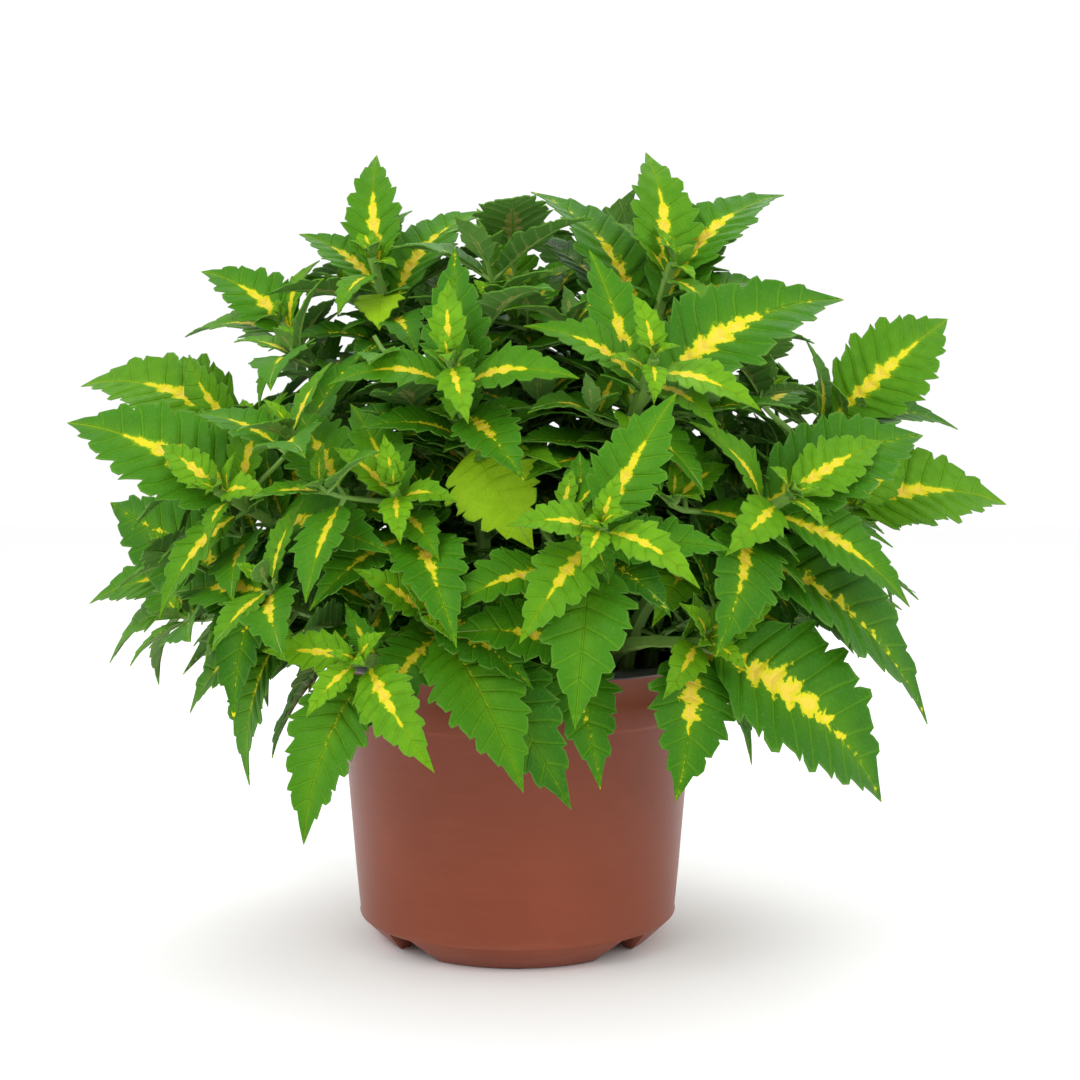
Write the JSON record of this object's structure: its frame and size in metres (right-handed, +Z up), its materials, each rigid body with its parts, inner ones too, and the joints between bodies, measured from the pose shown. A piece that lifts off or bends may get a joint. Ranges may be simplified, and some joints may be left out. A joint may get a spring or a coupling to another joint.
{
  "type": "potted coleus",
  "caption": "Bushy coleus with toothed, pointed leaves in opposite pairs, growing in a filled round nursery pot with an outward lip and short feet.",
  "frame": {"origin": "middle of the plant's box in plan, at the height of the pot's feet", "axes": "+Z up, -Y to the front of the plant, +X to its right"},
  "size_m": [0.3418, 0.249, 0.278],
  "materials": {
    "pot": "satin terracotta outside, near-black inside and on the lip",
    "soil": "dark crumbly potting soil",
    "foliage": "soft green leaves with a jagged yellow streak along the midrib"
  },
  "bodies": {
    "root": {"pot": "pot", "soil": "soil", "stem_back": "foliage", "stem_back_left": "foliage", "stem_back_left_low": "foliage", "stem_back_right": "foliage", "stem_back_right_low": "foliage", "stem_front": "foliage", "stem_front_low": "foliage", "stem_left": "foliage", "stem_left_front": "foliage", "stem_left_low": "foliage", "stem_middle_left": "foliage", "stem_right": "foliage", "stem_right_front": "foliage", "stem_right_low": "foliage", "stem_top_back": "foliage", "stem_top_left": "foliage", "stem_top_middle": "foliage", "stem_top_right": "foliage", "stem_upper_left": "foliage", "stem_upper_right": "foliage"}
  },
  "joints": []
}
